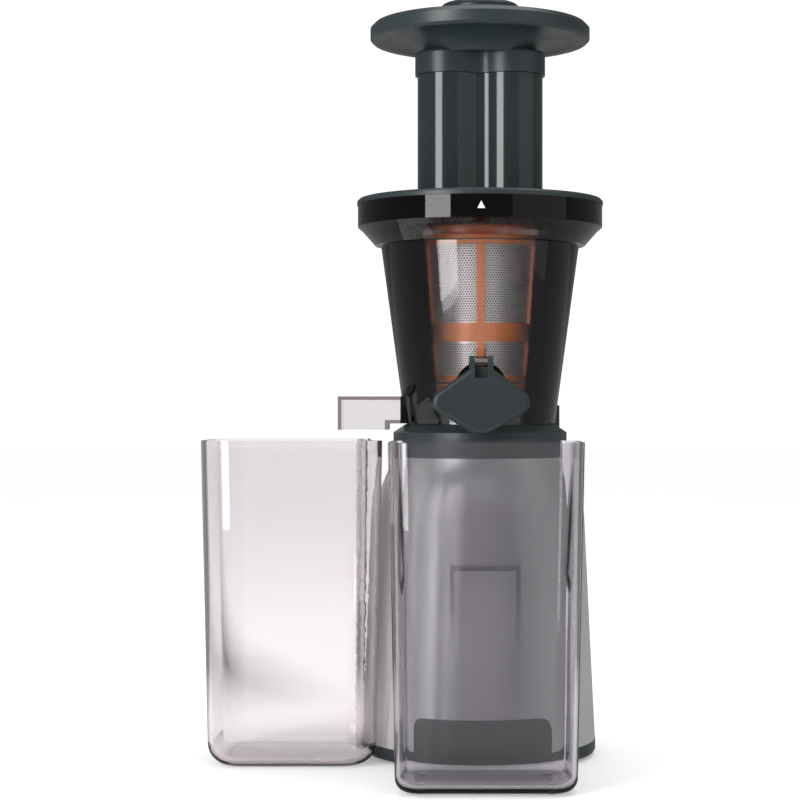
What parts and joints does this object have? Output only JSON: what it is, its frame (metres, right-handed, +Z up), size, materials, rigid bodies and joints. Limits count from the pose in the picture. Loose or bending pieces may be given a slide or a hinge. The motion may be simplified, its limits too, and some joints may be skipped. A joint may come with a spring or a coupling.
{
  "type": "slow juicer",
  "caption": "Upright slow juicer: tapered base, clear bowl with strainer and pressing screw, feed tube lid, pusher, juice jug and pulp container.",
  "frame": {"origin": "drive axis at the plane the feet stand on", "axes": "+Z up along the drive axis, -Y towards the juice spout, -X towards the pulp chute"},
  "size_m": [0.2259, 0.2106, 0.43],
  "materials": {
    "silver_shell": "satin silver lacquer",
    "dark_plastic": "satin grey-green",
    "gloss_dark_plastic": "polished grey-green",
    "foot_rubber": "matt",
    "seal_silicone": "matt translucent grey",
    "steel": "brushed",
    "laminated_steel": "laminated",
    "copper_winding": "enamelled wire",
    "rotor_aluminium": "cast",
    "inner_plastic": "moulded black",
    "gear_plastic": "moulded natural",
    "board_green": "solder mask",
    "smoked_clear": "clear smoked plastic",
    "pale_clear": "clear grey plastic",
    "orange_plastic": "satin orange",
    "bronze_bush": "sintered"
  },
  "bodies": {
    "base": {"base_shell": "silver_shell", "base_plinth": "dark_plastic", "base_collar": "dark_plastic", "bottom_cover": "inner_plastic", "foot_ring": "foot_rubber", "cover_screws": "steel", "motor_can": "steel", "motor_stator": "laminated_steel", "motor_coils": "copper_winding", "motor_bushes": "bronze_bush", "lay_pin": "steel", "gearbox_plate": "inner_plastic", "gearbox_cover": "inner_plastic", "drive_bearings": "bronze_bush", "shaft_seal": "foot_rubber", "control_board": "board_green", "interlock_switch": "inner_plastic", "cord_gland": "foot_rubber", "switch_housing": "inner_plastic", "switch_pin": "steel"},
    "drive": {"drive_shaft": "steel", "drive_gear": "gear_plastic"},
    "lay_shaft": {"lay_gear": "gear_plastic"},
    "motor_rotor_body": {"motor_shaft": "steel", "motor_rotor": "rotor_aluminium", "cooling_fan": "inner_plastic", "motor_pinion": "gear_plastic"},
    "switch": {"switch_rocker": "dark_plastic"},
    "bowl": {"juice_bowl": "smoked_clear", "pulp_chute": "smoked_clear", "juice_spout": "smoked_clear", "bowl_seal": "seal_silicone", "cap_pin": "steel", "idler_pin": "steel", "strainer_frame": "orange_plastic", "strainer_mesh": "steel"},
    "idler": {"idler_gear": "gear_plastic"},
    "wiper": {"wiper_frame": "orange_plastic", "wiper_blades": "seal_silicone"},
    "screw": {"pressing_screw": "inner_plastic", "screw_hub": "steel"},
    "cap": {"spout_cap": "dark_plastic", "cap_gasket": "foot_rubber"},
    "lid_body": {"lid": "dark_plastic", "feed_tube": "gloss_dark_plastic", "lid_seal": "seal_silicone"},
    "pusher_body": {"pusher": "dark_plastic", "pusher_cap": "dark_plastic"},
    "jug": {"juice_jug": "pale_clear"},
    "pulp": {"pulp_container": "pale_clear"}
  },
  "joints": [
    {"name": "drive_spin", "type": "hinge", "parent": "base", "child": "drive", "pos_m": [0, 0, 0.15], "axis": [0, 0, 1], "continuous": true},
    {"name": "lay_spin", "type": "hinge", "parent": "base", "child": "lay_shaft", "pos_m": [0.02835, 0, 0.125], "axis": [0, 0, 1], "continuous": true},
    {"name": "motor_spin", "type": "hinge", "parent": "base", "child": "motor_rotor_body", "pos_m": [0, 0, 0.07], "axis": [0, 0, 1], "continuous": true},
    {"name": "switch_tilt", "type": "hinge", "parent": "base", "child": "switch", "pos_m": [0, 0.05763, 0.1], "axis": [1, 0, 0], "range_deg": [-10, 10]},
    {"name": "bowl_lift", "type": "slide", "parent": "base", "child": "bowl", "axis": [0, 0, 1], "range_m": [0, 0.12]},
    {"name": "idler_spin", "type": "hinge", "parent": "bowl", "child": "idler", "pos_m": [0, 0.018, 0.205], "axis": [0, 0, 1], "continuous": true},
    {"name": "wiper_spin", "type": "hinge", "parent": "bowl", "child": "wiper", "pos_m": [0, 0, 0.205], "axis": [0, 0, 1], "continuous": true},
    {"name": "screw_spin", "type": "hinge", "parent": "bowl", "child": "screw", "pos_m": [0, 0, 0.25], "axis": [0, 0, 1], "continuous": true},
    {"name": "cap_flip", "type": "hinge", "parent": "bowl", "child": "cap", "pos_m": [0, -0.0665, 0.2236], "axis": [-1, 0, 0], "range_deg": [0, 100]},
    {"name": "lid_turn", "type": "hinge", "parent": "bowl", "child": "lid_body", "pos_m": [0, 0, 0.314], "axis": [0, 0, 1], "range_deg": [0, 34]},
    {"name": "pusher_slide", "type": "slide", "parent": "lid_body", "child": "pusher_body", "axis": [0, 0, 1], "range_m": [0, 0.12]},
    {"name": "jug_slide", "type": "slide", "parent": "base", "child": "jug", "axis": [0, -1, 0], "range_m": [0, 0.12]},
    {"name": "pulp_slide", "type": "slide", "parent": "base", "child": "pulp", "axis": [-1, 0, 0], "range_m": [0, 0.12]}
  ],
  "couplings": [
    {"joint": "lay_spin", "follows": "drive_spin", "ratio": -3.5},
    {"joint": "motor_spin", "follows": "drive_spin", "ratio": 12.25},
    {"joint": "screw_spin", "follows": "drive_spin", "ratio": 1},
    {"joint": "idler_spin", "follows": "drive_spin", "ratio": -1},
    {"joint": "wiper_spin", "follows": "drive_spin", "ratio": -0.33333}
  ]
}
